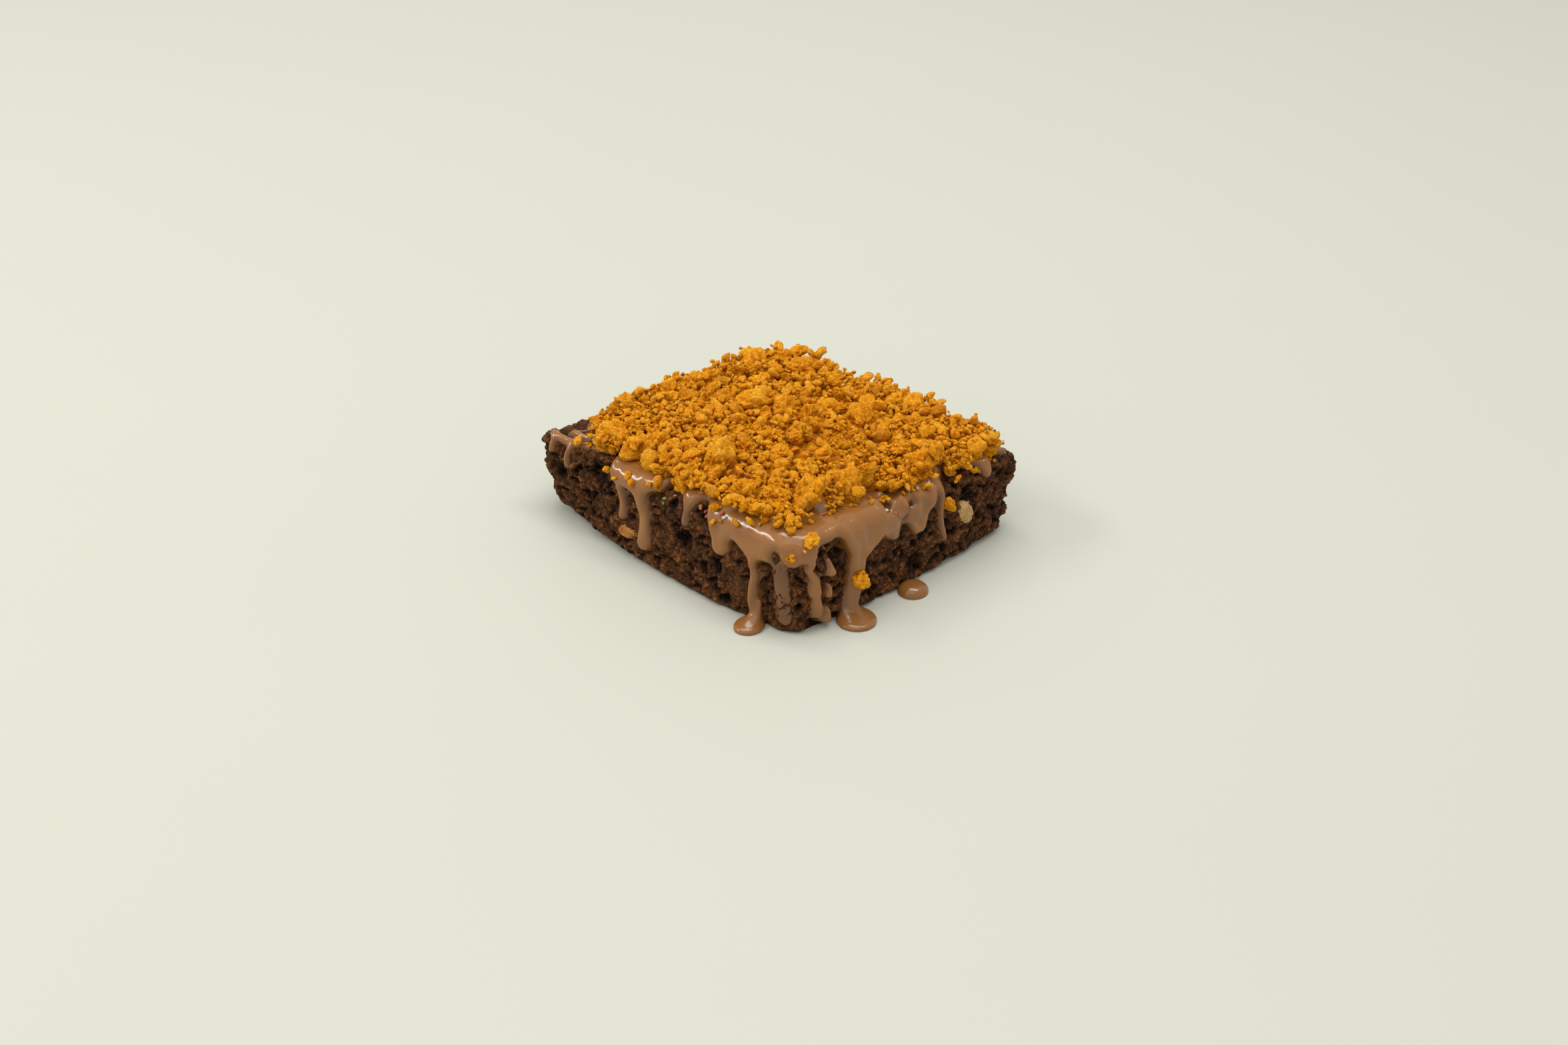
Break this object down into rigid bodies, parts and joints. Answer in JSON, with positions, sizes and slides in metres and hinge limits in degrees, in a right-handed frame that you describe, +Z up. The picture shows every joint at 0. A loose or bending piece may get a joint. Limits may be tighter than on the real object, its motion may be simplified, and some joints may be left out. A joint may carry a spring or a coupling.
{
  "type": "chocolate brownie",
  "caption": "Square of chocolate brownie with milk chocolate sauce running down its sides and a heap of caramel biscuit crumbs on top.",
  "frame": {"origin": "under the middle of the whole piece, on the surface it lies on", "axes": "+Z up; the front corner, where the sauce runs over most thickly, points to +X -Y, and the lifted corner to -X -Y"},
  "size_m": [0.0954, 0.0866, 0.0313],
  "materials": {
    "brownie": "baked chocolate crumb, matt and open",
    "sauce": "milk chocolate sauce, wet and glossy",
    "biscuit": "caramelised biscuit, sandy and matt",
    "nut": "cut nut, waxy",
    "toffee": "baked toffee, slightly shiny"
  },
  "bodies": {
    "root": {"brownie_slab": "brownie", "sauce": "sauce", "sauce_drop": "sauce", "crumb_topping": "biscuit", "nut_chunk": "nut", "toffee_chunk": "toffee"}
  },
  "joints": []
}
